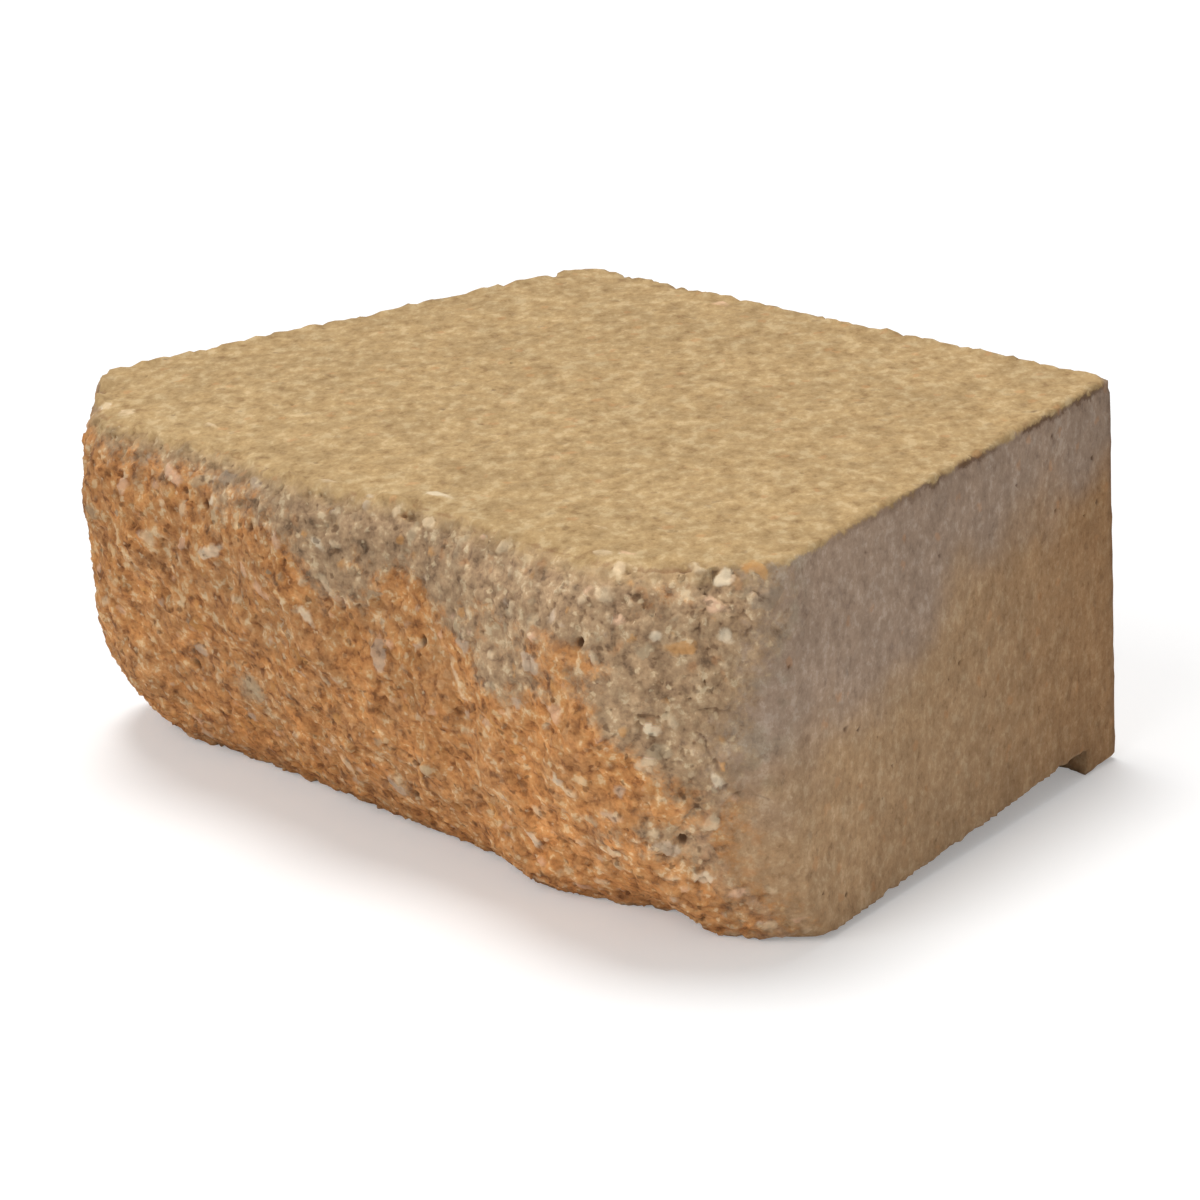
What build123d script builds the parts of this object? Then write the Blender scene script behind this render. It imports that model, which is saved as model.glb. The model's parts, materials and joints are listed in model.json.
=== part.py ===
"""Garden wall block of split-faced concrete, cast in one piece.

The block is drawn lying level: X runs across the wall, Y from the broken
front towards the bank behind it, and Z up from the face that it is bedded on.
Blocks are cast in pairs, front to front, and split apart between a notch on
each side, which leaves bevelled corners beside a rough, bulging front.
A lip under the back edge hooks behind the course below. Unheld on a level
floor the block leans a little forward, on that lip and on its front toe, and
that is how it is stored. Sizes are in millimetres and angles in degrees.
"""

from build123d import *
from math import atan2, cos, degrees, exp, pi, radians, sin, tan
import os

# The cast body, with its depth and front width at the split plane.
height = 102.0
depth = 178.0
front_width = 280.0
back_width = 208.0
back_corner_radius = 2.0
top_arris_radius = 1.0

# The splitting notch: how far behind the split plane its bevel starts, the
# angle that the bevel turns in from straight ahead, and the rounded shoulder.
notch_shoulder = 16.0
notch_angle = 30.0
shoulder_radius = 16.0

# The lip that sets each course back.
lip_drop = 8.2
lip_thickness = 16.8
lip_heel_radius = 2.0

# The broken front bulges most at its crown and falls back to the toe.
crown_standout = 17.0
crown_height = 75.0
fall_to_toe = 24.0

# What the fracture has lost along its edges, and how far in the loss reaches.
side_arris_loss = 34.0
side_arris_reach = 45.0
top_arris_loss = 5.0
top_arris_reach = 15.0
toe_loss = 3.0
toe_reach = 12.0

# Knobs (+) and hollows (-) of the fracture: the place across and up the face
# as shares of its half width and height, then standout and spread.
fracture_relief = [
    (-0.98, 0.22, 10.0, 21.0),
    (-0.92, 0.52, -3.5, 8.0),
    (-0.90, 0.82, -5.0, 15.0),
    (-0.84, 0.00, -2.0, 12.0),
    (-0.60, 0.84, 3.5, 17.0),
    (-0.66, 0.50, -2.5, 22.0),
    (-0.34, 0.34, -3.0, 22.0),
    (-0.06, 0.92, 4.0, 15.0),
    (-0.08, 0.56, 2.5, 22.0),
    (0.22, 0.80, -3.0, 20.0),
    (0.42, 0.04, 6.0, 11.0),
    (0.64, 0.64, 3.0, 20.0),
    (0.69, 0.00, -6.5, 8.0),
    (0.98, 0.00, 6.0, 20.0),
]

# Bent ripples over the fracture: the length, direction and height of each. They fade
# out towards the rim of the face.
fracture_ripples = [
    (33.0, 14.0, 0.7),
    (27.0, 68.0, 0.7),
    (22.0, 117.0, 0.6),
    (25.0, 158.0, 0.6),
]
ripple_bend = 0.22
ripple_bend_length = 61.0
ripple_fade = 32.0

# How far past the block the fracture is carried, and the points along it.
fracture_margin = 14.0
fracture_columns = 61
fracture_rows = 25
split_clearance = 8.0


def loss_near(overlap, loss, reach):
    """What an edge has lost where the face lies within its reach."""
    return loss * (max(overlap, 0.0) / reach) ** 2


def ripple(x, z, length, direction):
    """One bent ripple over the face, from -1 to 1."""
    along = x * cos(radians(direction)) + z * sin(radians(direction))
    across = z * cos(radians(direction)) - x * sin(radians(direction))
    bend = ripple_bend * sin(2 * pi * across / ripple_bend_length)
    return sin(2 * pi * (along / length + bend))


def standout(x, z):
    """How far the broken face stands in front of the split plane."""
    half_width = front_width / 2
    out = crown_standout - fall_to_toe * ((z - crown_height) / crown_height) ** 2
    out -= loss_near(abs(x) - (half_width - side_arris_reach), side_arris_loss, side_arris_reach)
    out -= loss_near(z - (height - top_arris_reach), top_arris_loss, top_arris_reach)
    out -= loss_near(toe_reach - z, toe_loss, toe_reach)
    for across, up, swell, spread in fracture_relief:
        away_squared = (x - across * half_width) ** 2 + (z - up * height) ** 2
        out += swell * exp(-away_squared / (2 * spread**2))
    from_rim = min(half_width - abs(x), z, height - z)
    fade = min(max(from_rim / ripple_fade, 0.0), 1.0) ** 2
    for length, direction, rise in fracture_ripples:
        out += fade * rise * ripple(x, z, length, direction)
    return out


def spread_towards_ends(count, low, high):
    """Places from low to high that lie closer together near both ends."""
    middle, half = (low + high) / 2, (high - low) / 2
    return [middle + half * sin(pi * (n / (count - 1) - 0.5)) for n in range(count)]


def fracture_surface():
    """The broken front as one spline surface, carried past every edge of the block."""
    reach = front_width / 2 + fracture_margin
    columns = spread_towards_ends(fracture_columns, -reach, reach)
    rows = spread_towards_ends(fracture_rows, -fracture_margin, height + fracture_margin)
    points = [[(x, -standout(x, z), z) for x in columns] for z in rows]
    return Face.make_surface_from_array_of_points(points, tol=0.05)


def side_line(y):
    """Half the width of the tapering body at a distance behind the split plane."""
    return front_width / 2 - y / depth * (front_width - back_width) / 2


blank_front = -(crown_standout + split_clearance)
shoulder = side_line(notch_shoulder)
notch_end = shoulder - (notch_shoulder - blank_front) * tan(radians(notch_angle))

with BuildPart() as block:
    # The side profile carries the lip, and the plan gives the tapered sides and bevels.
    with BuildSketch(Plane.YZ) as side_profile:
        with BuildLine():
            Polyline(
                (blank_front, 0),
                (depth - lip_thickness, 0),
                (depth - lip_thickness, -lip_drop),
                (depth, -lip_drop),
                (depth, height),
                (blank_front, height),
                close=True,
            )
        make_face()
    extrude(amount=shoulder, both=True)
    with BuildSketch(Plane.XY.offset(-lip_drop)) as plan:
        with BuildLine():
            Polyline(
                (notch_end, blank_front),
                (shoulder, notch_shoulder),
                (side_line(depth), depth),
                (-side_line(depth), depth),
                (-shoulder, notch_shoulder),
                (-notch_end, blank_front),
                close=True,
            )
        make_face()
        across = plan.vertices().group_by(Axis.X)
        fillet(across[0] + across[-1], radius=shoulder_radius)
    extrude(amount=lip_drop + height, mode=Mode.INTERSECT)

    back_corners = block.edges().filter_by(Axis.Z).group_by(Axis.Y)[-1]
    fillet(back_corners, radius=back_corner_radius)
    fillet(block.faces().sort_by(Axis.Z)[-1].edges(), radius=top_arris_radius)
    lip_heel = block.edges().group_by(Axis.Z)[0].filter_by(Axis.X).sort_by(Axis.Y)[-1]
    fillet(lip_heel, radius=lip_heel_radius)

    # Everything in front of the fracture breaks away.
    extrude(
        fracture_surface(),
        amount=depth,
        dir=(0, -1, 0),
        mode=Mode.SUBTRACT,
    )

# At rest the block stands on the front edge of its lip and on its toe.
bed = block.faces().filter_by(Plane.XY).group_by(Axis.Z)[1][0]
toe = bed.bounding_box().min.Y
lean = degrees(atan2(lip_drop, depth - lip_thickness - toe))
leaning = Rot(X=lean) * block.part
extent = leaning.bounding_box()
wall_block = Pos(-extent.center().X, -extent.center().Y, -extent.min.Z) * leaning

wall_block.label = "wall_block"
os.makedirs("parts", exist_ok=True)
export_step(wall_block, "parts/wall_block.step")

print("lean", round(lean, 3), "size", extent.size, "volume", round(wall_block.volume / 1e6, 3), "litres")
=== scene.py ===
"""Garden wall block: the finish of its cast and broken faces, around the fixed frame.

The block's skin is a fine mesh grown from the CAD solid and worked in the block's own
level axes, in millimetres: x across the wall, y from the split plane towards the back
and z up from the bed face. The frame holds it leaning on its lip and toe, in metres.
"""

import json
from math import cos, radians, sin

import bpy
import numpy as np
from mathutils import Matrix, Vector
from mathutils.bvhtree import BVHTree


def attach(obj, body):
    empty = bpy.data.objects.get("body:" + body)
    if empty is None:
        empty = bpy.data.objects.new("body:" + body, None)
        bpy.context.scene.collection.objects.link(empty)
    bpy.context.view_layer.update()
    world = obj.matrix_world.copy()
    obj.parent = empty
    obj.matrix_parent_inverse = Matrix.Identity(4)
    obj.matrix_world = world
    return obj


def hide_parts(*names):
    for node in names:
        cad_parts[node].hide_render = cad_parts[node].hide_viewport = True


NODE = "wall_block"
BODY = "root"
MM = 0.001

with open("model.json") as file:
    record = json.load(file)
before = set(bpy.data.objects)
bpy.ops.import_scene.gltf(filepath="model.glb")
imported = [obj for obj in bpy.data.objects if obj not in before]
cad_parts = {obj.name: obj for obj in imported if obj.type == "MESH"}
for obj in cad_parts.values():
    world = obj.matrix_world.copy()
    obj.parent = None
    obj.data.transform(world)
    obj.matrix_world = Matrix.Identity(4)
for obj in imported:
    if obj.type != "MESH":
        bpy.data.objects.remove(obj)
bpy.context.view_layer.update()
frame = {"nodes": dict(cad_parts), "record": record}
mounts = {m["name"]: m for m in frame["record"]["mounts"]}

# The skin's first mesh, the triangles that are left of it, and the number of levels and
# the weight by which cast faces are thinned out more than broken ones.
VOXEL = 0.72
TRIANGLES = 197000
THIN_LEVELS = 10
THIN_WEIGHT = 1.0

# The camera in level axes, fitted to the photograph's corners; the picture in pixels.
CAMERA_PLACE = (701.4, -549.3, 385.0)
CAMERA_AZIMUTH = 48.06
CAMERA_ELEVATION = 19.91
CAMERA_ROLL = -3.72
FOCAL_PIXELS = 3601.6
PICTURE_PIXELS = 1200
SENSOR_MM = 36.0


def level_axes():
    """The matrix from the frame, in metres, to the block's level axes, in millimetres."""
    up = Vector(mounts["top_face"]["axis"])
    back = -Vector(mounts["lip_stop"]["axis"])
    turn = Matrix((back.cross(up), back, up)).to_4x4()
    bed = Vector(mounts["bed_face"]["pos_m"])
    level = Matrix.Diagonal((1 / MM, 1 / MM, 1 / MM, 1)) @ turn @ Matrix.Translation(-bed)
    # The bed mount lies halfway from the split plane to the back.
    rear = max((level @ v.co).y for v in frame["nodes"][NODE].data.vertices)
    return Matrix.Translation((0, rear, 0)) @ level


LEVEL = level_axes()
TOP = (LEVEL @ Vector(mounts["top_face"]["pos_m"])).z
DEPTH = 2 * (LEVEL @ Vector(mounts["bed_face"]["pos_m"])).y

# Stones that stand out in the photograph, on the broken front by their place across
# and up, and on the top by their place across and back; then length, width, the turn
# of the long axis from level, and the kind of stone.
FRONT_STONES = [
    (-80, 88, 5, 4, 80, "pink"),
    (-60, 90, 5, 3, 80, "amber"),
    (-100, 76, 6, 5, 0, "moss"),
    (-68, 76, 8, 3, -24, "cream"),
    (-57, 76, 5, 5, 0, "pink"),
    (-44, 76, 12, 4, 27, "white"),
    (-60, 69, 10, 2, -65, "cream"),
    (-11, 87, 6, 4, -60, "pink"),
    (3, 89, 7, 4, -35, "white"),
    (6, 78, 8, 5, -45, "cream"),
    (-3, 68, 7, 4, -50, "white"),
    (-22, 71, 6, 4, -60, "pink"),
    (-15, 62, 10, 2.5, -50, "cream"),
    (22, 61, 9, 8, 60, "grey"),
    (26, 66, 4, 3, 0, "pink"),
    (-67, 40, 7, 5, -30, "grey"),
    (-45, 34, 11, 8, -70, "moss"),
    (-51, 39, 6, 5, 0, "moss"),
    (-50, 94, 8, 6, 10, "moss"),
    (-39, 97, 8, 6, 0, "slate"),
    (-43, 91, 4, 3, 90, "white"),
    (34, 96, 7, 4, 70, "moss"),
    (26, 100, 6, 4, 80, "cream"),
    (69, 100, 6, 4, 60, "cream"),
    (55, 77, 7, 5, 60, "moss"),
    (58, 73, 6, 5, 0, "grey"),
    (51, 63, 13, 2.5, -72, "cream"),
    (61, 77, 4, 3, 0, "pink"),
    (85, 76, 7, 6, 0, "grey"),
    (86, 83, 4, 3, 0, "pink"),
    (72, 59, 6, 4, 0, "pink"),
    (106, 95, 7, 5, -25, "cream"),
    (110, 91, 4, 3, 0, "pink"),
    (118, 87, 4, 3.5, 0, "white"),
    (122, 84, 10, 3.5, 5, "amber"),
    (105, 81, 7, 2.5, -60, "cream"),
    (120, 65, 6, 3, -75, "cream"),
    (116, 63, 5, 4, 0, "white"),
    (111, 63, 4, 3, 0, "amber"),
    (114, 54, 7, 3, 20, "cream"),
    (117, 57, 8, 6, 0, "moss"),
    (87, 44, 5, 3.5, -60, "white"),
    (90, 41, 6, 3.5, -25, "cream"),
    (126, 49, 7, 3.5, -75, "white"),
    (128, 44, 5, 3.5, -70, "pink"),
    (123, 37, 7, 6, -40, "cream"),
    (113, 28, 9, 6, -50, "grey"),
    (66, 19, 7, 5, -60, "white"),
    (66, 13, 5, 4, -60, "pink"),
    (101, 37, 9, 4, 0, "grey"),
    (93, 34, 7, 3, -20, "moss"),
    (95, 20, 7, 5, 0, "moss"),
    (29, 31, 8, 5, -50, "moss"),
    (71, 29, 5, 3, -50, "cream"),
    (9, 18, 10, 7, -60, "grey"),
    (119, 21, 9, 4, 0, "white"),
    (124, 16, 4, 3, 0, "pink"),
    (132, 7, 5, 4, 0, "pink"),
    (130, 17, 7, 3, -60, "cream"),
    (83, 10, 5, 3, 0, "cream"),
    (127, 94, 8, 4, -10, "pink"),
    (127, 99, 5, 4, 40, "white"),
    (136, 86, 6, 4, -40, "white"),
    (135, 94, 9, 7, 0, "slate"),
]
TOP_STONES = [
    (31, 1, 12, 3.5, 5, "white"),
    (-67, 3, 10, 3, -10, "cream"),
    (-1, -9, 8, 3, 0, "cream"),
    (14, -9, 4, 3, 0, "white"),
    (96, -5, 9, 6, 0, "cream"),
    (102, -1, 5, 4, 0, "pink"),
    (83, 8, 6, 3, 0, "cream"),
    (-38, 171, 10, 4, 0, "pink"),
    (-108, -3, 7, 7, 0, "cream"),
    (-96, -3, 7, 6, 0, "cream"),
    (132, 13, 9, 4, 10, "amber"),
    (127, 7, 3.5, 3, 0, "white"),
    (136, 20, 4, 3, 60, "cream"),
    (122, 3, 4, 3, 0, "cream"),
    (106, -7, 6, 4, -20, "cream"),
]

# Places on the front where a stone has been pulled out, with the hollow's radius.
HOLES = [
    (-71, 34, 2.4),
    (-25, 101, 1.8),
    (-46, 89, 1.6),
    (-24, 88, 1.5),
    (38, 69, 1.8),
    (101, 84, 1.7),
    (116, 31, 1.7),
    (16, 16, 2.2),
    (-88, 12, 2.2),
]

# Cracks over the front, by their places across and up. All of them lie right of the start.
CRACKS_START = 80.0
CRACKS = [
    [(124.0, 62.7), (125.6, 60.0), (126.5, 55.0), (127.1, 50.5)],
    [(128.5, 45.2), (131.0, 45.4), (133.0, 42.0)],
    [(99.5, 20.1), (94.4, 10.7), (87.7, 0.7)],
]
CRACK_HALF_WIDTH = 0.6

# Kinds of stone, with the colour that each shows in plain light.
STONE_COLOURS = {
    "cream": (236, 211, 174),
    "white": (252, 236, 206),
    "pink": (234, 192, 160),
    "grey": (204, 184, 162),
    "moss": (190, 171, 140),
    "slate": (150, 134, 116),
    "amber": (212, 154, 88),
    "brown": (146, 106, 74),
}
STONE_KINDS = list(STONE_COLOURS)
LOOSE_KINDS = ["cream", "pink", "grey", "moss", "amber", "brown", "cream", "amber"]

# Where the grey-brown mix of the upper front ends, by its height along x.
GREY_EDGE = [(-140, 108), (-100, 102), (-70, 96), (-40, 92), (-10, 88), (4, 82), (30, 81), (42, 80)]
GREY_EDGE += [(55, 77), (68, 72), (88, 71), (104, 70), (112, 58), (120, 50), (128, 44), (140, 36)]

# Patches of more or less grey on the front: the place across and up, the reach in
# both directions and the share.
GREY_PATCHES = [
    (12, 79, 9, 5, 0.7),
    (-47, 32, 9, 8, 0.7),
    (-68, 39, 7, 5, 0.4),
    (10, 18, 9, 6, 0.6),
    (-8, 47, 7, 5, 0.3),
    (93, 80, 14, 6, -0.7),
    (64, 84, 9, 5, -0.4),
    (36, 80, 12, 5, -0.35),
    (70, 68, 8, 5, 0.35),
    (118, 96, 9, 4, -0.4),
    (95, 26, 9, 8, 0.45),
    (112, 32, 8, 6, 0.5),
]

# Where the grey-violet mix of a side ends, by its height along y.
SIDE_EDGE = [(-20, 38), (10, 44), (40, 55), (70, 63), (100, 69), (140, 75), (178, 79)]

# Where the right end of the broken front meets the smooth notch, by its y along z. The
# notch lies further right than its start and further forward than its end.
NOTCH_EDGE = [(0, 22), (10, 15), (20, 8), (30, 3), (43, 2), (55, 3), (70, 7), (84, 12), (102, 15)]
NOTCH_START = 100.0
NOTCH_END = 40.0

# Painted light and shade: what the colour is multiplied by, on a side and on the top by the y,
# and on the broken front by the height and by the x. A side is lighter near its front end and
# darker to the back, the top lighter to the front, and the break lighter low down and to the right.
SIDE_LIGHT = [(0, 0.95), (12, 1.02), (28, 1.15), (45, 1.12), (75, 1.0), (130, 0.96), (DEPTH, 0.86)]
TOP_LIGHT = [(0, 1.05), (60, 1.01), (110, 1.0)]
FRONT_LIGHT = [(25, 1.02), (55, 0.91), (90, 0.88)]
FRONT_LIGHT_ACROSS = [(30, 1.0), (80, 1.2)]

# How strong the undercut below the top's arris, pushed in and darkened with painted shade, is along a side,
# by its y.
UNDERCUT_STRENGTH = [(20, 0.1), (75, 0.6), (100, 1), (168, 1), (DEPTH, 0.2)]

# How far the upright back corners lie to either side of the middle.
BACK_CORNER = 104.0


def scatter(cells, salt):
    """Three even random numbers from 0 to 1 for each whole-number cell."""
    mixed = cells.astype(np.int64) * (73856093, 19349663, 83492791)
    seed = mixed[:, 0] ^ mixed[:, 1] ^ mixed[:, 2] ^ (salt * 2654435761)
    columns = []
    for step in range(3):
        h = (seed + step * 0x9E3779B9) & 0xFFFFFFFF
        h = ((h ^ (h >> 16)) * 0x45D9F3B) & 0xFFFFFFFF
        h = ((h ^ (h >> 16)) * 0x45D9F3B) & 0xFFFFFFFF
        columns.append(((h ^ (h >> 16)) & 0xFFFFFF) / 0x1000000)
    return np.stack(columns, axis=1)


def ease(value, low=0.0, high=1.0):
    """A smooth step from 0 at low to 1 at high."""
    t = np.clip((value - low) / (high - low), 0.0, 1.0)
    return t * t * (3.0 - 2.0 * t)


def swell_noise(points, size, salt):
    """Smooth noise from -1 to 1 with lumps of about the given size."""
    scaled = points / size
    cell = np.floor(scaled)
    share = ease(scaled - cell)
    total = np.zeros(len(points))
    for corner in np.ndindex(2, 2, 2):
        weight = np.prod(np.where(corner, share, 1.0 - share), axis=1)
        total += weight * scatter(cell + corner, salt)[:, 0]
    return 2.0 * total - 1.0


def layered_noise(points, size, octaves, salt):
    """Noise in several octaves, each half as large and half as strong."""
    total = np.zeros(len(points))
    for octave in range(octaves):
        total += swell_noise(points, size / 2**octave, salt + octave) / 2**octave
    return total


def nearest_seed(points, size, salt):
    """The nearest of one random seed per cell: its place, its three numbers and its distance."""
    cell = np.floor(points / size)
    best = np.full(len(points), np.inf)
    place = np.zeros_like(points)
    numbers = np.zeros_like(points)
    for shift in np.ndindex(3, 3, 3):
        other = cell + np.array(shift) - 1
        seed = (other + scatter(other, salt)) * size
        away = ((points - seed) ** 2).sum(axis=1)
        nearer = away < best
        best[nearer] = away[nearer]
        place[nearer] = seed[nearer]
        numbers[nearer] = scatter(other[nearer], salt + 101)
    return place, numbers, np.sqrt(best)


def facets(points, size, salt):
    """Flat facets with random tilts, as stone breaks, from about -1 to 1."""
    wander = np.stack([swell_noise(points, size * 0.6, salt + k) for k in (11, 12, 13)], axis=1)
    seed, numbers, _ = nearest_seed(points + wander * size * 0.25, size, salt)
    return ((points - seed) * (2.0 * numbers - 1.0)).sum(axis=1) / (size * 0.6)


def hollows(points, size, salt, share, radius):
    """Round hollows at a share of random seeds: 1 at a hollow's middle and 0 outside it."""
    _, numbers, away = nearest_seed(points, size, salt)
    reach = radius * (0.6 + 0.8 * numbers[:, 1])
    return np.where(numbers[:, 0] < share, np.clip(1.0 - (away / reach) ** 2, 0.0, 1.0), 0.0)


def loose_stones(points, size, salt, share, radius):
    """Random broken stones: millimetres inside the edge, the kind of stone and a tilt."""
    seed, numbers, _ = nearest_seed(points, size, salt)
    away = points - seed
    long_axis = 2.0 * scatter(np.round(seed * 8), salt + 7) - 1.0
    long_axis /= np.linalg.norm(long_axis, axis=1)[:, None] + 1e-9
    along = (away * long_axis).sum(axis=1)
    stretched = away - long_axis * (along * 0.45)[:, None]
    reach = radius * (0.55 + 0.75 * numbers[:, 1])
    edge = reach - np.linalg.norm(stretched, axis=1)
    # A straight break on one side keeps a stone from looking round.
    cut = 2.0 * scatter(np.round(seed * 8), salt + 9) - 1.0
    cut /= np.linalg.norm(cut, axis=1)[:, None] + 1e-9
    edge = np.minimum(edge, reach * 0.35 - (away * cut).sum(axis=1))
    edge = np.where(numbers[:, 0] < share, edge, -radius)
    kind = np.floor(numbers[:, 2] * len(LOOSE_KINDS)).astype(int)
    kind = np.array([STONE_KINDS.index(k) for k in LOOSE_KINDS])[np.clip(kind, 0, len(LOOSE_KINDS) - 1)]
    tilt = (away * cut).sum(axis=1) / radius
    return edge, kind, tilt


def coordinates(mesh):
    """A mesh's points as an array."""
    flat = np.zeros(len(mesh.vertices) * 3, np.float32)
    mesh.vertices.foreach_get("co", flat)
    return flat.reshape(-1, 3).astype(float)


def normals(mesh):
    """A mesh's point normals as an array."""
    flat = np.zeros(len(mesh.vertices) * 3, np.float32)
    mesh.vertex_normals.foreach_get("vector", flat)
    return flat.reshape(-1, 3).astype(float)


def spread_over(mesh, values, rounds):
    """Values at the points, averaged with their neighbours a number of times."""
    ends = np.zeros(len(mesh.edges) * 2, np.int32)
    mesh.edges.foreach_get("vertices", ends)
    a, b = ends.reshape(-1, 2).T
    size = len(mesh.vertices)
    count = np.bincount(ends, minlength=size).astype(float)
    columns = []
    for column in values.reshape(size, -1).astype(float).T:
        for _ in range(rounds):
            summed = np.bincount(a, column[b], size) + np.bincount(b, column[a], size)
            column = 0.5 * column + 0.5 * summed / count
        columns.append(column)
    return np.stack(columns, axis=1).reshape(values.shape)


def put_attribute(mesh, name, values):
    """A number at each point, for the material to read."""
    attribute = mesh.attributes.new(name, "FLOAT", "POINT")
    attribute.data.foreach_set("value", np.ascontiguousarray(values, np.float32))


def apply_modifier(piece, kind, **settings):
    """Adds a modifier, sets it and applies it."""
    modifier = piece.modifiers.new(kind.lower(), kind)
    for key, value in settings.items():
        setattr(modifier, key, value)
    with bpy.context.temp_override(object=piece, active_object=piece, selected_objects=[piece]):
        bpy.ops.object.modifier_apply(modifier=modifier.name)


# What tells the broken faces of the CAD solid from the cast ones. A cast face is level or
# upright, by the height of its normal. The break lies near the front, faces forwards,
# and ends below the rounding of the top's arris.
LEVEL_FACE = 0.985
UPRIGHT_FACE = 0.002
FORWARD_FACE = 0.1
FRONT_REACH = 30.0
ARRIS_HEIGHT = 1.2


def level_tree():
    """A search tree of the CAD solid in level axes, and 1 for each broken face of it."""
    cad = frame["nodes"][NODE].data
    corners = [LEVEL @ v.co for v in cad.vertices]
    faces = [tuple(p.vertices) for p in cad.polygons]
    facing = np.array([(LEVEL.to_3x3() @ p.normal).normalized() for p in cad.polygons])
    middle = np.array([sum((corners[i] for i in f), Vector()) / len(f) for f in faces])
    level_face = np.abs(facing[:, 2]) > LEVEL_FACE
    upright_face = np.abs(facing[:, 2]) < UPRIGHT_FACE
    ahead = (middle[:, 1] < FRONT_REACH) & (facing[:, 1] < FORWARD_FACE)
    broken = ~level_face & ~upright_face & ahead
    arris = (middle[:, 2] > TOP - ARRIS_HEIGHT) & (facing[:, 2] > 0.0)
    return BVHTree.FromPolygons(corners, faces), (broken & ~arris).astype(float)


def along_line(line, at):
    """The second value of a line of pairs, at places along the first."""
    return np.interp(at, *zip(*line))


def inside_notch_edge(points):
    """How far inside the right end of the broken front each point lies, in millimetres."""
    ragged = 2.2 * layered_noise(points, 9.0, 4, 51)
    return along_line(NOTCH_EDGE, points[:, 2]) + ragged - points[:, 1]


def broken_share(mesh, points, facing, tree, broken_faces):
    """1 on the broken front and 0 on a cast face: with a narrow border, and with a wide one."""
    broken = broken_faces[[tree.find_nearest(p)[2] for p in points]]
    # At the right end the break runs on over part of the notch's smooth bevel.
    inside = inside_notch_edge(points)
    in_notch = (points[:, 0] > NOTCH_START) & (points[:, 1] < NOTCH_END)
    by_notch = in_notch & (np.abs(facing[:, 2]) < 0.9)
    narrow = spread_over(mesh, np.where(by_notch, inside > 0.0, broken), 3)
    wide = spread_over(mesh, np.where(by_notch, ease(inside, -14.0, 13.0), broken), 60)
    return narrow, wide


# How far off the block the rays start that find the places of stones and holes.
RAY_START = 200.0

# The millimetres inside a stone's edge that a point gets where no stone is near.
NO_STONE = -1.5


def on_block(tree, start, aim):
    """Where a ray meets the block and its normal there, or the nearest place where it misses."""
    place, facing, _, _ = tree.ray_cast(Vector(start), Vector(aim))
    if place is None:
        place, facing, _, _ = tree.find_nearest(Vector(start) + Vector(aim) * RAY_START)
    return place, facing


def hand_stones(points, tree, edge, kind, tilt):
    """Puts the listed stones over the loose ones."""
    placed = [((x, -RAY_START, z), (0, 1, 0), *rest) for x, z, *rest in FRONT_STONES]
    placed += [((x, y, RAY_START), (0, 0, -1), *rest) for x, y, *rest in TOP_STONES]
    level = Vector((1, 0, 0))
    for start, aim, length, width, turn, name in placed:
        seed, facing = on_block(tree, start, aim)
        side = level - facing * facing.dot(level)
        rise = facing.cross(side.normalized())
        if rise.z + rise.y < 0:
            rise = -rise
        long_axis = side.normalized() * cos(radians(turn)) + rise * sin(radians(turn))
        near = np.flatnonzero(((points - seed) ** 2).sum(axis=1) < (length + 3.0) ** 2)
        away = points[near] - seed
        u = away @ np.array(long_axis)
        v = away @ np.array(facing.cross(long_axis))
        wobble = swell_noise(points[near], 3.2, 61) + 0.6 * swell_noise(points[near], 1.4, 62)
        # A stone's outline lies between an oval and a diamond.
        reach = np.maximum(np.hypot(u * width / length, v), (np.abs(u) * width / length + np.abs(v)) * 0.76)
        inside = width * 0.41 - reach + wobble * width * 0.24
        nearer = inside > np.maximum(edge[near], NO_STONE)
        chosen = near[nearer]
        edge[chosen] = inside[nearer]
        kind[chosen] = STONE_KINDS.index(name)
        tilt[chosen] = (v[nearer] / width) * (1 if length > 5 else -1)


def hand_holes(points, tree):
    """1 in the middle of each pulled-out stone's hollow and 0 outside them."""
    depth = np.zeros(len(points))
    for x, z, radius in HOLES:
        seed, _ = on_block(tree, (x, -RAY_START, z), (0, 1, 0))
        away = np.linalg.norm((points - seed) * (1.2, 1.0, 0.85), axis=1)
        ragged = radius * (1.0 + 0.2 * swell_noise(points, 1.6, 63))
        depth = np.maximum(depth, np.clip(1.0 - (away / ragged) ** 2, 0.0, 1.0))
    return depth


def cracks(points):
    """1 in the middle of each crack of the front and 0 outside them."""
    nearest = np.full(len(points), np.inf)
    flat = points[:, ::2] + 0.7 * np.stack([swell_noise(points, 3.0, salt) for salt in (65, 66)], axis=1)
    for line in CRACKS:
        for start, end in zip(np.array(line), np.array(line[1:])):
            run = end - start
            share = np.clip((flat - start) @ run / (run @ run), 0.0, 1.0)
            nearest = np.minimum(nearest, np.linalg.norm(flat - start - share[:, None] * run, axis=1))
    depth = np.clip(1.0 - (nearest / CRACK_HALF_WIDTH) ** 2, 0.0, 1.0)
    return np.where((points[:, 1] < FRONT_REACH) & (points[:, 0] > CRACKS_START), depth, 0.0)


def broken_relief(points, edge, tilt, holes):
    """How far the broken front stands out at each point, in millimetres."""
    stone = ease(edge, -0.2, 0.5)
    rough = 0.5 * facets(points, 8.5, 22) + 0.42 * facets(points, 4.2, 23)
    grain = 0.3 * layered_noise(points, 2.6, 2, 24) + 0.16 * facets(points, 2.2, 26)
    pits = hollows(points, 8.0, 25, 0.2, 1.7)
    return rough + grain * (1.0 - 0.8 * stone) + stone * (0.4 + 0.4 * tilt) - 1.2 * pits - 2.3 * holes


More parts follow.
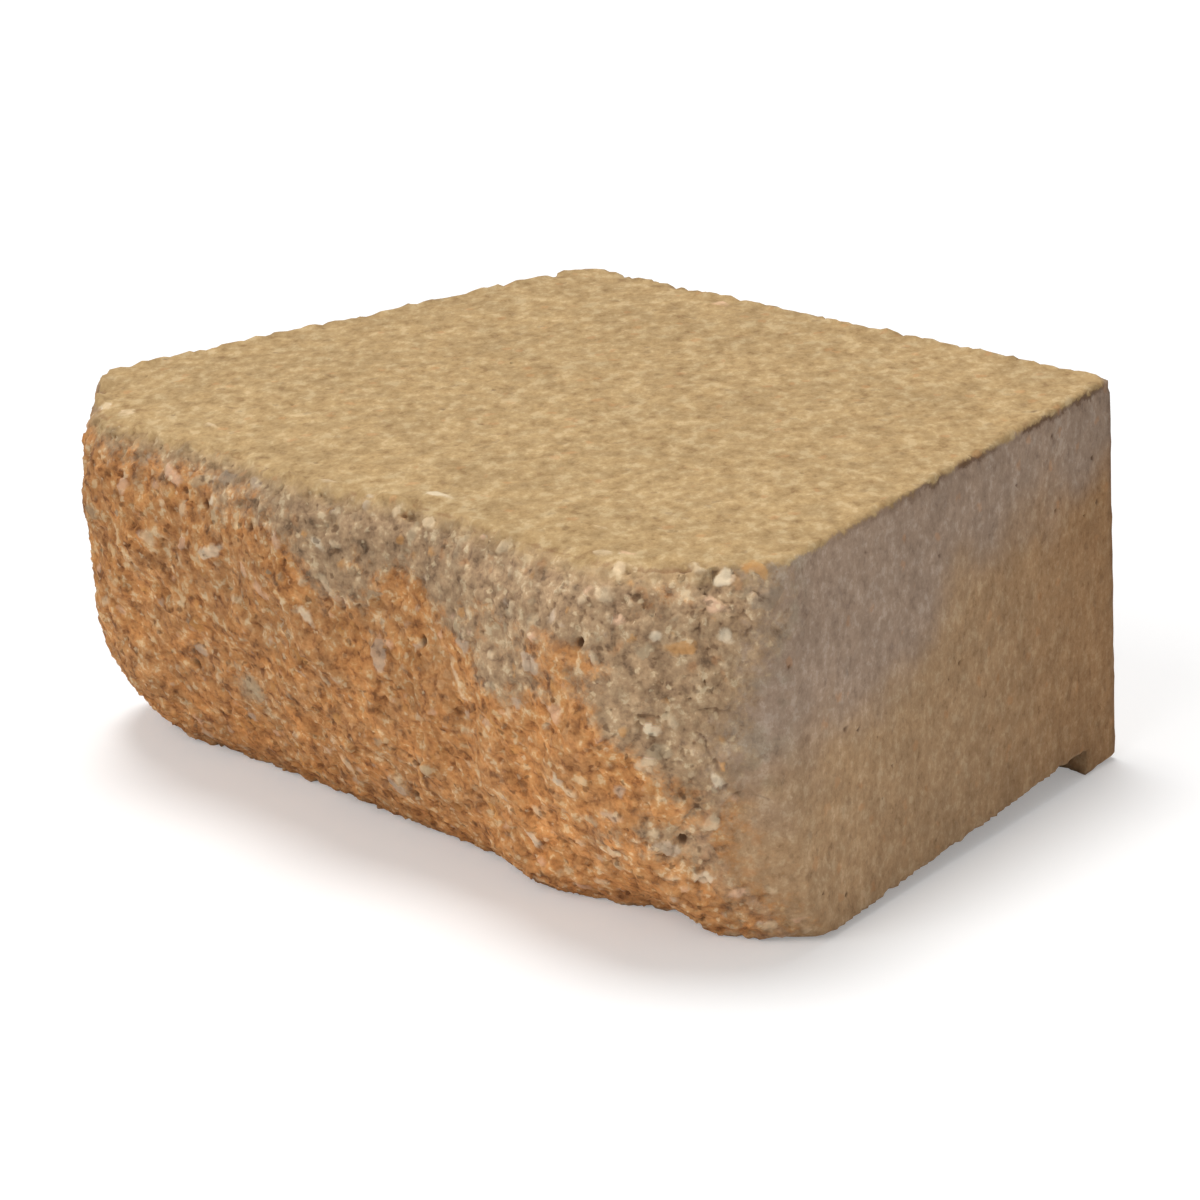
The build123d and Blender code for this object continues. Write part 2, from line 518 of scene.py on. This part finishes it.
def cast_relief(points, facing):
    """How far a cast face stands out at each point, in millimetres, and its pores."""
    upright = 1.0 - ease(np.abs(facing[:, 2]), 0.4, 0.7)
    wavy = 0.13 * layered_noise(points, 36.0, 2, 31)
    sand = 0.11 * layered_noise(points, 3.0, 2, 32) + 0.09 * swell_noise(points, 1.5, 35)
    drag = 0.05 * swell_noise(points / (1.0, 1.0, 12.0), 1.8, 34)
    pores = hollows(points, 5.5, 33, 0.18, 0.85)
    lumps = 0.2 * np.clip(layered_noise(points, 6.0, 2, 36), 0.0, 2.0) * (1.0 - upright)
    return wavy + sand + lumps + drag * upright - 0.6 * pores, pores


# The top's front left corner has kept its point, and stands out a little.
LEFT_CORNER = np.array((-135.0, 14.0, 100.0))
LEFT_CORNER_PUSH = np.array((-1.9, -2.0, 0.0))
LEFT_CORNER_REACH = 6.0


def from_back_corner(points):
    """How far each point lies from the nearer upright back corner, in millimetres."""
    return np.hypot(np.abs(points[:, 0]) - BACK_CORNER, points[:, 1] - DEPTH)


def worn_arrises(mesh, points, facing, broken):
    """The points with crumbs broken off the arrises, and how worn each is, from 0 to 1."""
    small = spread_over(mesh, points, 12)
    large = spread_over(mesh, small, 50)
    sharp = ((points - large) * facing).sum(axis=1)
    front = ease(-points[:, 1], -25.0, 5.0) * ease(points[:, 2], 4.0, 20.0)
    crumb = ease(layered_noise(points, 7.5, 3, 41), 0.25 - 0.85 * front, 0.95 - 0.7 * front)
    kept_corner = np.exp(-((points - LEFT_CORNER) ** 2).sum(axis=1) / (2 * LEFT_CORNER_REACH**2))
    # The upright back corners are crisp and straight.
    upright_corner = ease(points[:, 1], DEPTH - 12.0, DEPTH - 6.0) * ease(-points[:, 2], -TOP, 5.0 - TOP)
    crumb *= (0.3 + 0.7 * np.maximum(front, ease(points[:, 2], TOP - 9.0, TOP - 5.0))) * (1.0 - kept_corner)
    crumb *= 1.0 - upright_corner
    away = from_back_corner(points)
    crumb = np.maximum(crumb, 0.25 * ease(-away, -6.0, -1.0) * ease(points[:, 2], TOP - 6.0, TOP - 1.0))
    nibble = ease(layered_noise(points, 3.2, 2, 43), -0.1, 0.7) * (1.0 - 0.9 * upright_corner)
    moved = points + (small - points) * nibble[:, None]
    moved += (large - moved) * crumb[:, None] * (1.0 + 0.5 * front)[:, None]
    worn = ease(sharp, 0.15, 0.9) * np.maximum(crumb, 0.7 * nibble)
    # A crust of pressed-up grains stands along the top's arrises.
    crust = ease(sharp, 0.05, 0.5) * ease(facing[:, 2], 0.2, 0.7) * (1.0 - crumb) * (1.0 - broken)
    crust *= ease(away, 2.0, 9.0)
    lumps = 0.35 * layered_noise(points, 11.0, 2, 46) + 0.6 * swell_noise(points, 3.6, 44)
    moved[:, 2] += crust * (0.45 + lumps + 0.4 * swell_noise(points, 1.8, 45))
    moved += LEFT_CORNER_PUSH * kept_corner[:, None]
    return moved, worn


def undercut(points, facing):
    """How strong the undercut close below the top's arris is along a side, from 0 to 1; it is pushed in and
    gets painted shade.
    """
    side = ease(np.abs(facing[:, 0]), 0.2, 0.5)
    broken_up = ease(layered_noise(points, 8.0, 3, 56), -0.9, 0.1)
    return side * broken_up * along_line(UNDERCUT_STRENGTH, points[:, 1])


def painted_light_by_place(points, facing, broken):
    """Painted light and shade: what each point's colour is multiplied by, from its place on a side, the top
    or the break.
    """
    side = ease(np.abs(facing[:, 0]), 0.5, 0.8)
    on_front = along_line(FRONT_LIGHT, points[:, 2]) * along_line(FRONT_LIGHT_ACROSS, points[:, 0])
    on_side = along_line(SIDE_LIGHT, points[:, 1])
    on_top = along_line(TOP_LIGHT, points[:, 1])
    cast = side * on_side + (1.0 - side) * on_top
    return broken * on_front + (1.0 - broken) * cast


def mix_zones(points, broken):
    """1 where the grey mix shows and 0 where the orange or brown one does, with a soft border."""
    drift = 7.0 * layered_noise(points, 16.0, 4, 71)
    front = ease(points[:, 2] + drift - along_line(GREY_EDGE, points[:, 0]), -14.0, 12.0)
    front += 0.5 * ease(-inside_notch_edge(points), -16.0, 0.0) * (points[:, 0] > NOTCH_START)
    side = ease(points[:, 2] + 1.2 * drift - along_line(SIDE_EDGE, points[:, 1]), -12.0, 12.0)
    for x, z, across, up, share in GREY_PATCHES:
        front += share * np.exp(-(((points[:, 0] - x) / across) ** 2) - ((points[:, 2] - z) / up) ** 2)
    return np.where(broken > 0.5, np.clip(front, 0.0, 1.0), side)


def fine_mesh():
    """The CAD solid as an object in level axes, with a fine closed mesh."""
    mesh = frame["nodes"][NODE].data.copy()
    mesh.materials.clear()
    mesh.transform(LEVEL)
    piece = bpy.data.objects.new("wall_block_skin", mesh)
    bpy.context.scene.collection.objects.link(piece)
    apply_modifier(piece, "REMESH", mode="VOXEL", voxel_size=VOXEL, adaptivity=0.0)
    return piece


def all_stones(points, tree, broken):
    """Loose stones of two sizes on the break, with the listed ones over them."""
    coarse = loose_stones(points, 7.5, 81, 0.26, 2.1)
    fine = loose_stones(points, 3.6, 91, 0.34, 1.1)
    finer = fine[0] > coarse[0]
    edge, kind, tilt = (np.where(finer, f, c) for f, c in zip(fine, coarse))
    edge = np.where(broken > 0.4, edge, NO_STONE)
    hand_stones(points, tree, edge, kind, tilt)
    return edge, kind, tilt


def place_attributes(points, facing, soft_facing, broken):
    """The numbers for the material that follow from a point's place and facing alone."""
    flank = ease(np.abs(soft_facing[:, 0]) + np.maximum(soft_facing[:, 1], 0.0), 0.25, 0.6)
    inside = inside_notch_edge(points)
    ashy = ease(inside, -17.0, -7.0) * ease(-inside, -5.0, 2.0) * ease(points[:, 2], 38.0, 52.0)
    return {
        "flank": np.maximum(flank, ease(TOP - points[:, 2], 4.0, 8.0)),
        # Painted shade: where the side's colour reaches over the top at the upright back corners.
        "corner": ease(-from_back_corner(points), -5.0, -1.5),
        "painted_light": painted_light_by_place(points, facing, broken),
        "far": ease(np.abs(facing[:, 0]), 0.5, 0.8) * ease(points[:, 1], 80.0, DEPTH),
        "ashy": ashy * (points[:, 0] > NOTCH_START),
        "grey": mix_zones(points, broken),
        "crest": ease(points[:, 2], TOP - 9.0, TOP) * ease(-points[:, 1], -30.0, -10.0),
    }


def thin_out(piece, broken):
    """Brings the mesh down to its number of triangles, the cast faces first and the break last."""
    thin = piece.vertex_groups.new(name="thin")
    for level in range(1, THIN_LEVELS + 1):
        members = np.flatnonzero(np.round((1.0 - broken) * THIN_LEVELS) == level)
        thin.add(members.tolist(), level / THIN_LEVELS, "REPLACE")
    apply_modifier(
        piece,
        "DECIMATE",
        ratio=TRIANGLES / (2 * len(piece.data.polygons)),
        vertex_group="thin",
        vertex_group_factor=THIN_WEIGHT,
    )
    piece.vertex_groups.clear()


def block_skin():
    """The block's skin as one closed mesh with its relief in the geometry."""
    piece = fine_mesh()
    mesh = piece.data
    points = coordinates(mesh)
    facing = normals(mesh)
    tree, broken_faces = level_tree()
    broken, rim = broken_share(mesh, points, facing, tree, broken_faces)
    edge, kind, tilt = all_stones(points, tree, broken)
    holes = hand_holes(points, tree)

    # The break frays a few millimetres onto the cast faces beside it.
    frayed = ease(rim + 0.22 * layered_noise(points, 5.0, 3, 53), 0.3, 0.7)
    frayed = np.maximum(frayed, broken * ease(rim, 0.3, 0.7))
    moved, worn = worn_arrises(mesh, points, facing, broken)
    rough = broken_relief(points, edge, tilt, holes)
    smooth, pores = cast_relief(points, facing)
    smooth += 0.35 * worn * layered_noise(points, 2.6, 2, 24) + 0.3 * ease(edge, -0.2, 0.5)
    soft_facing = spread_over(mesh, facing, 3)
    soft_facing /= np.linalg.norm(soft_facing, axis=1)[:, None]
    undercut_and_shade = undercut(points, facing) * (1.0 - broken)
    crack = cracks(points)
    seam_line = np.exp(-((TOP - points[:, 2] - 1.8) ** 2) / (2 * 0.7**2))
    out = frayed * rough + (1.0 - frayed) * smooth - 0.35 * undercut_and_shade * seam_line - 0.35 * crack
    moved += soft_facing * out[:, None]
    mesh.vertices.foreach_set("co", moved.astype(np.float32).ravel())
    mesh.update()
    hollow_and_corner_shade = ((spread_over(mesh, moved, 7) - moved) * normals(mesh)).sum(axis=1)
    # Painted shade: the upright back corners are darker.
    back_corner = ease(points[:, 1], DEPTH - 4.0, DEPTH - 1.5) * (np.abs(points[:, 0]) > BACK_CORNER - 2.0)
    hollow_and_corner_shade += 0.5 * back_corner

    # At the left end the sandy colour of the top runs down over the broken arris.
    sandy_end = ease(-points[:, 0], 80.0, 100.0) * ease(points[:, 2], TOP - 8.0, TOP - 3.0)
    attributes = place_attributes(points, facing, soft_facing, broken)
    attributes["broken"] = frayed
    attributes["rim"] = rim - 0.45 * sandy_end
    attributes["undercut_and_shade"] = undercut_and_shade
    attributes["stone"] = edge
    attributes["kind"] = (kind + 0.5) / len(STONE_KINDS)
    attributes["hollow_and_corner_shade"] = hollow_and_corner_shade
    attributes["worn"] = worn
    # Painted shade goes into pores, hollows of pulled-out stones and cracks.
    attributes["pore"] = np.maximum(0.5 * crack, np.maximum(holes * broken, pores * (1.0 - broken)))
    for name, values in attributes.items():
        put_attribute(mesh, name, values)

    thin_out(piece, broken)
    piece.data.transform(LEVEL.inverted())
    piece.data.shade_smooth()
    return piece


def srgb(red, green, blue):
    """A colour given as it looks on screen, from 0 to 255, in linear light."""
    shares = (red / 255, green / 255, blue / 255)
    return tuple(c / 12.92 if c < 0.04 else ((c + 0.055) / 1.055) ** 2.4 for c in shares) + (1.0,)


class Nodes:
    """A small help to build a node material."""

    def __init__(self, name):
        self.material = bpy.data.materials.new(name)
        self.material.use_nodes = True
        self.tree = self.material.node_tree
        self.tree.nodes.clear()

    def add(self, kind, links=None, **settings):
        """A node with its settings, its input values and the sockets that feed it."""
        node = self.tree.nodes.new(kind)
        for key, value in settings.items():
            setattr(node, key, value)
        for key, value in (links or {}).items():
            if isinstance(value, bpy.types.NodeSocket):
                self.tree.links.new(value, node.inputs[key])
            else:
                node.inputs[key].default_value = value
        return node

    def attribute(self, name):
        return self.add("ShaderNodeAttribute", attribute_name=name).outputs["Fac"]

    def math(self, operation, a, b=0.0):
        return self.add("ShaderNodeMath", {0: a, 1: b}, operation=operation).outputs[0]

    def vector_math(self, operation, a, b, output="Vector"):
        return self.add("ShaderNodeVectorMath", {0: a, 1: b}, operation=operation).outputs[output]

    def step(self, value, low, high, to_low=0.0, to_high=1.0):
        """Smoothly from one value at low to another at high."""
        links = {"Value": value, "From Min": low, "From Max": high, "To Min": to_low, "To Max": to_high}
        return self.add("ShaderNodeMapRange", links, interpolation_type="SMOOTHSTEP").outputs[0]

    def mix(self, share, a, b, blend="MIX"):
        """Colour b over colour a."""
        links = {"Factor": share, 6: a, 7: b}
        return self.add("ShaderNodeMix", links, data_type="RGBA", blend_type=blend).outputs[2]

    def noise(self, vector, size, detail=3.0, roughness=0.55, output="Fac"):
        """Noise with lumps of a size in millimetres."""
        links = {"Vector": vector, "Scale": 1 / (size * MM), "Detail": detail, "Roughness": roughness}
        return self.add("ShaderNodeTexNoise", links).outputs[output]

    def warped(self, vector, size, amount):
        """A place moved about by noise, by up to the amount in millimetres."""
        wander = self.noise(vector, size, 1.0, output="Color")
        centred = self.vector_math("SUBTRACT", wander, (0.5, 0.5, 0.5))
        scale = {0: centred, "Scale": 2.0 * amount * MM}
        moved = self.add("ShaderNodeVectorMath", scale, operation="SCALE").outputs[0]
        return self.vector_math("ADD", vector, moved)

    def cells(self, vector, size):
        """A node of cells of a size in millimetres."""
        return self.add("ShaderNodeTexVoronoi", {"Vector": vector, "Scale": 1 / (size * MM)})

    def palette(self, number, colours, interpolation="CONSTANT"):
        """A colour picked by a number from 0 to 1 out of pairs of a share and a colour."""
        ramp = self.add("ShaderNodeValToRGB", {0: number})
        stops = ramp.color_ramp
        stops.interpolation = interpolation
        total = sum(share for share, _ in colours)
        start = 0.0
        for n, (share, colour) in enumerate(colours):
            stop = stops.elements[n] if n < 2 else stops.elements.new(start)
            stop.position = start
            stop.color = srgb(*colour)
            start += share / total
        return ramp.outputs[0]

    def grains(self, vector, size, colours):
        """Random colours for ragged grains of a size in millimetres."""
        cell = self.cells(self.warped(vector, size * 0.9, size * 0.5), size)
        number = self.add("ShaderNodeSeparateColor", {0: cell.outputs["Color"]}).outputs[0]
        return self.palette(number, colours, "LINEAR")

    def sand(self, vector, size, colours, roughness=0.8):
        """Colours that change softly in lumps of a size in millimetres and finer, from first to last."""
        number = self.step(self.noise(vector, size, 3.5, roughness), 0.3, 0.7)
        return self.palette(number, colours, "LINEAR")

    def specks(self, vector, size, rarity, strength):
        """Ragged specks in some cells of a size in millimetres: the strength inside, 0 outside."""
        cell = self.cells(self.warped(vector, size * 0.5, size * 0.35), size)
        number = self.add("ShaderNodeSeparateColor", {0: cell.outputs["Color"]}).outputs[1]
        chosen = self.math("GREATER_THAN", number, rarity)
        return self.math("MULTIPLY", chosen, self.step(cell.outputs["Distance"], 0.16, 0.36, strength, 0.0))

    def scaled(self, vector, x, y, z):
        """A place with its axes scaled."""
        return self.vector_math("MULTIPLY", vector, (x, y, z))


# Grains of the broken orange mix, the broken grey mix, the sandy top and the sides.
ORANGE_GRAINS = [
    (12, (118, 76, 46)),
    (18, (158, 106, 64)),
    (26, (186, 130, 80)),
    (22, (202, 144, 90)),
    (12, (210, 158, 104)),
    (6, (228, 194, 150)),
]
GREY_GRAINS = [
    (10, (112, 90, 69)),
    (22, (145, 117, 90)),
    (30, (166, 136, 104)),
    (20, (181, 150, 116)),
    (10, (194, 164, 128)),
    (5, (214, 190, 154)),
]
TOP_GRAINS = [
    (10, (150, 118, 79)),
    (24, (166, 136, 93)),
    (36, (178, 147, 102)),
    (18, (189, 159, 114)),
    (10, (202, 175, 132)),
]
SIDE_GRAINS = [
    (10, (148, 116, 84)),
    (24, (168, 134, 98)),
    (36, (178, 143, 106)),
    (20, (187, 153, 116)),
    (10, (200, 170, 134)),
]
SIDE_GREY_GRAINS = [
    (10, (138, 115, 98)),
    (24, (155, 131, 111)),
    (36, (165, 140, 119)),
    (20, (174, 149, 128)),
    (10, (188, 166, 147)),
]
# The colour of painted shade in hollows, pores, cracks, pits and the back corners.
SHADE = srgb(84, 56, 36)
CRUMB = srgb(140, 102, 68)
# The colour of the painted shade in the undercut below the top's arris.
UNDERCUT_SHADE = srgb(92, 60, 34)
FLECK = srgb(236, 212, 172)
AMBER_FLECK = srgb(198, 140, 90)

# What the colours are multiplied by where the orange is dull, where it is rich, and on
# the brown of a side towards the back.
DULL_ORANGE = (0.93, 0.95, 0.98, 1.0)
RICH_ORANGE = (1.05, 1.0, 0.91, 1.0)
FAR_BROWN = (0.88, 0.78, 0.67, 1.0)
ASHY = (0.97, 1.04, 1.03, 1.0)

# The grains of the top run a little longer one way, and those of a side upwards.
TOP_TURN = -48.0
TOP_STRETCH = 1.5
SIDE_STRETCH = 1.25


def below_top(n, place):
    """How far below the plane of the top a place lies, in millimetres."""
    up = Vector(mounts["top_face"]["axis"])
    plane = up.dot(Vector(mounts["top_face"]["pos_m"]))
    height = n.vector_math("DOT_PRODUCT", place, tuple(up), "Value")
    return n.math("MULTIPLY", n.math("SUBTRACT", plane, height), 1 / MM)


def ragged_drop(n, place):
    """How far a place lies below the top, in millimetres, off by a jagged amount."""
    jag = n.math("MULTIPLY", n.math("SUBTRACT", n.noise(place, 4.5, 4.0, 0.75), 0.5), 6.0)
    drop = n.math("ADD", below_top(n, place), jag)
    # At the upright back corners the side's colour reaches over the top, as painted shade.
    return n.math("ADD", drop, n.math("MULTIPLY", n.attribute("corner"), 3.0))


def front_colours(n, place):
    """The orange and the grey-brown mix of the broken front."""
    orange = n.mix(0.18, n.sand(place, 4.0, ORANGE_GRAINS, 0.65), n.grains(place, 1.9, ORANGE_GRAINS))
    stirred = n.mix(n.step(n.noise(place, 13.0, 3.0), 0.36, 0.64), DULL_ORANGE, RICH_ORANGE)
    orange = n.mix(1.0, orange, stirred, "MULTIPLY")
    grey = n.mix(0.18, n.sand(place, 4.0, GREY_GRAINS, 0.65), n.grains(place, 1.9, GREY_GRAINS))
    return orange, grey


def top_colour(n, place):
    """The sandy mix of the top."""
    turn = {0: place, "Angle": radians(TOP_TURN)}
    turned = n.add("ShaderNodeVectorRotate", turn, rotation_type="Z_AXIS").outputs[0]
    along = n.scaled(turned, 1.0, 1 / TOP_STRETCH, 1.0)
    return n.mix(0.18, n.sand(along, 4.0, TOP_GRAINS, 0.7), n.grains(along, 1.6, TOP_GRAINS))


def side_colour(n, place):
    """The brown and the violet-grey mix of a side, redder to the back and ashy by the notch."""
    upwards = n.scaled(place, 1.0, 1.0, 1 / SIDE_STRETCH)
    brown = n.mix(0.25, n.sand(upwards, 3.5, SIDE_GRAINS), n.grains(place, 1.5, SIDE_GRAINS))
    brown = n.mix(n.attribute("far"), brown, n.mix(1.0, brown, FAR_BROWN, "MULTIPLY"))
    grey = n.mix(0.25, n.sand(upwards, 3.5, SIDE_GREY_GRAINS), n.grains(place, 1.5, SIDE_GREY_GRAINS))
    side = n.mix(n.attribute("grey"), brown, grey)
    ashy = n.math("MULTIPLY", n.attribute("ashy"), n.step(n.noise(place, 9.0, 3.0), 0.42, 0.6))
    return n.mix(ashy, side, n.mix(1.0, side, ASHY, "MULTIPLY"))


def drift_and_painted_light(n, place, broken):
    """What the colour is multiplied by as the pigment drifts, with more mottling on the break, and with the
    painted light and shade of each place.
    """
    slow = n.step(n.noise(place, 30.0, 3.0), 0.3, 0.7, 0.95, 1.05)
    quick = n.step(n.noise(place, 7.0, 3.0), 0.3, 0.7, 0.92, 1.08)
    mottled = n.step(n.noise(place, 5.0, 3.0), 0.3, 0.7, 0.86, 1.14)
    mottled = n.math("ADD", n.math("MULTIPLY", broken, mottled), n.math("SUBTRACT", 1.0, broken))
    drift = n.math("MULTIPLY", slow, quick)
    # The painted light and shade of each place is multiplied in here.
    drift = n.math("MULTIPLY", drift, n.math("MULTIPLY", mottled, n.attribute("painted_light")))
    return n.add("ShaderNodeCombineXYZ", {0: drift, 1: drift, 2: drift}).outputs[0]


def block_colour(n, place):
    """The colour of the concrete, from its mixes, stones and worn arrises, with painted light and shade
    over it: in hollows, pores, cracks, pits and the undercut, and by place.
    """
    ragged = n.math("SUBTRACT", n.noise(place, 3.6, 4.0, 0.7), 0.5)
    grey = n.step(n.math("ADD", n.attribute("grey"), n.math("MULTIPLY", ragged, 1.6)), 0.2, 0.8)
    broken = n.step(n.math("ADD", n.attribute("rim"), n.math("MULTIPLY", ragged, 1.5)), 0.15, 0.85)

    orange, grey_mix = front_colours(n, place)
    top = top_colour(n, place)
    crest = n.step(n.math("ADD", n.attribute("crest"), ragged), 0.35, 0.9, 0.0, 0.75)
    front = n.mix(crest, n.mix(grey, orange, grey_mix), n.mix(0.4, top, grey_mix))
    drop = ragged_drop(n, place)
    on_side = n.math("MULTIPLY", n.step(drop, 0.3, 1.7), n.attribute("flank"))
    colour = n.mix(broken, n.mix(on_side, top, side_colour(n, place)), front)

    worn = n.step(n.math("ADD", n.attribute("worn"), ragged), 0.4, 0.9, 0.0, 0.55)
    colour = n.mix(worn, colour, CRUMB)
    # Painted shade in the undercut close below the top's arris.
    in_undercut = n.math("MULTIPLY", n.step(drop, 0.1, 1.1), n.step(drop, 1.5, 3.0, 0.75, 0.0))
    colour = n.mix(n.math("MULTIPLY", n.attribute("undercut_and_shade"), in_undercut), colour, UNDERCUT_SHADE)
    stone_edge = n.math("ADD", n.attribute("stone"), n.math("MULTIPLY", ragged, 2.2))
    stones = [(1, STONE_COLOURS[k]) for k in STONE_KINDS]
    stone = n.mix(0.36, n.palette(n.attribute("kind"), stones), colour)
    colour = n.mix(n.step(stone_edge, -0.4, 0.8, 0.0, 0.82), colour, stone)
    colour = n.mix(n.math("MULTIPLY", n.specks(place, 2.7, 0.8, 0.5), broken), colour, FLECK)
    # Painted shade: dark specks stand in for shaded pits on the break; weaker dark specks lie everywhere.
    colour = n.mix(n.math("MULTIPLY", n.specks(place, 3.3, 0.76, 0.55), broken), colour, SHADE)
    colour = n.mix(n.specks(place, 4.6, 0.86, 0.22), colour, SHADE)
    colour = n.mix(n.specks(place, 5.2, 0.8, 0.3), colour, AMBER_FLECK)

    colour = n.mix(1.0, colour, drift_and_painted_light(n, place, broken), "MULTIPLY")

    # Painted shade: hollows and the upright back corners are darker than what stands out.
    deep = n.step(n.attribute("hollow_and_corner_shade"), 0.02, 0.5, 0.0, 0.38)
    colour = n.mix(deep, colour, SHADE)
    # Painted shade: pores, hollows of pulled-out stones and cracks are darkened.
    return n.mix(n.step(n.attribute("pore"), 0.1, 0.8, 0.0, 0.65), colour, SHADE)


# The concrete's surface, and the depth of its finest grain in metres.
ROUGHNESS = 0.93
GLOSS = 0.25
BUMP_DEPTH = 0.0007


def concrete():
    """Dry-cast concrete in blended tan, orange and grey, sandy where cast and pebbly where broken."""
    n = Nodes("blended_concrete")
    place = n.add("ShaderNodeTexCoord").outputs["Object"]
    sand = n.noise(place, 1.3, 2.0, 0.7)
    grit = n.cells(n.warped(place, 1.6, 0.5), 1.6).outputs["Distance"]
    height = n.math("ADD", sand, n.math("MULTIPLY", grit, -0.6))
    broken = n.attribute("broken")
    strength = n.step(broken, 0.2, 0.8, 0.2, 0.28)
    bump = {"Strength": strength, "Distance": BUMP_DEPTH, "Height": height}
    shader = n.add(
        "ShaderNodeBsdfPrincipled",
        {
            "Base Color": block_colour(n, place),
            "Roughness": ROUGHNESS,
            "Specular IOR Level": GLOSS,
            "Normal": n.add("ShaderNodeBump", bump).outputs[0],
        },
    )
    n.add("ShaderNodeOutputMaterial", {"Surface": shader.outputs[0]})
    return n.material


# What the camera sees of the floor is lifted to white, and its shadow stays.
FLOOR_COLOUR = (0.8, 0.8, 0.8, 1.0)
FLOOR_LIFT = 0.25
FLOOR_SIZE = 12.0


def floor_material():
    """A pale floor that keeps the block's soft shadow."""
    n = Nodes("white_floor")
    matt = n.add("ShaderNodeBsdfDiffuse", {"Color": FLOOR_COLOUR}).outputs[0]
    paths = n.add("ShaderNodeLightPath").outputs
    seen = n.math("MAXIMUM", paths["Is Camera Ray"], paths["Is Glossy Ray"])
    seen = n.math("MAXIMUM", seen, paths["Is Transmission Ray"])
    lift = n.add("ShaderNodeEmission", {"Strength": n.math("MULTIPLY", seen, FLOOR_LIFT)}).outputs[0]
    both = n.add("ShaderNodeAddShader", {0: matt, 1: lift}).outputs[0]
    n.add("ShaderNodeOutputMaterial", {"Surface": both})
    return n.material


def make_floor():
    bpy.ops.mesh.primitive_plane_add(size=FLOOR_SIZE, location=(0, 0, 0))
    floor = bpy.context.object
    floor.name = "floor"
    floor.data.materials.append(floor_material())


def soft_sun(name, travel, strength, spread):
    """A distant lamp with soft shadows: the way that its light travels, and its spread in degrees."""
    data = bpy.data.lights.new(name, "SUN")
    data.energy = strength
    data.angle = radians(spread)
    lamp = bpy.data.objects.new(name, data)
    bpy.context.scene.collection.objects.link(lamp)
    lamp.rotation_mode = "QUATERNION"
    lamp.rotation_quaternion = Vector(travel).to_track_quat("-Z", "Y")


# How bright the sky lights the scene. The camera sees it white.
WORLD_LEVEL = 0.34


def make_light():
    """A lamp overhead, a weaker one from the front, and a pale sky all round."""
    soft_sun("overhead", (0.18, -0.04, -1.0), 1.75, 24.0)
    soft_sun("front", (-0.02, 0.8, -0.62), 0.95, 40.0)
    world = bpy.data.worlds.new("studio")
    bpy.context.scene.world = world
    world.use_nodes = True
    tree = world.node_tree
    tree.nodes.clear()
    paths = tree.nodes.new("ShaderNodeLightPath").outputs
    seen = paths["Is Camera Ray"]
    for other in ("Is Glossy Ray", "Is Transmission Ray"):
        either = tree.nodes.new("ShaderNodeMath")
        either.operation = "MAXIMUM"
        tree.links.new(seen, either.inputs[0])
        tree.links.new(paths[other], either.inputs[1])
        seen = either.outputs[0]
    strength = tree.nodes.new("ShaderNodeMapRange")
    strength.inputs["To Min"].default_value = WORLD_LEVEL
    tree.links.new(seen, strength.inputs["Value"])
    background = tree.nodes.new("ShaderNodeBackground")
    background.inputs["Color"].default_value = (1, 1, 1, 1)
    tree.links.new(strength.outputs[0], background.inputs["Strength"])
    output = tree.nodes.new("ShaderNodeOutputWorld")
    tree.links.new(background.outputs[0], output.inputs["Surface"])


def make_camera():
    """The camera that took the photograph, set up in the block's level axes."""
    data = bpy.data.cameras.new("camera")
    data.sensor_width = SENSOR_MM
    data.lens = FOCAL_PIXELS / PICTURE_PIXELS * SENSOR_MM
    camera = bpy.data.objects.new("camera", data)
    bpy.context.scene.collection.objects.link(camera)
    turn = Matrix.Rotation(radians(CAMERA_AZIMUTH), 4, "Z")
    tip = Matrix.Rotation(radians(90.0 - CAMERA_ELEVATION), 4, "X")
    roll = Matrix.Rotation(radians(CAMERA_ROLL), 4, "Z")
    in_level = Matrix.Translation(CAMERA_PLACE) @ turn @ tip @ roll
    in_frame = LEVEL.inverted() @ in_level
    camera.matrix_world = Matrix.LocRotScale(in_frame.to_translation(), in_frame.to_quaternion(), None)
    bpy.context.scene.camera = camera


skin = block_skin()
skin.data.materials.append(concrete())
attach(skin, BODY)
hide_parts(NODE)

make_floor()
make_light()
make_camera()
bpy.context.scene.view_settings.view_transform = "Standard"
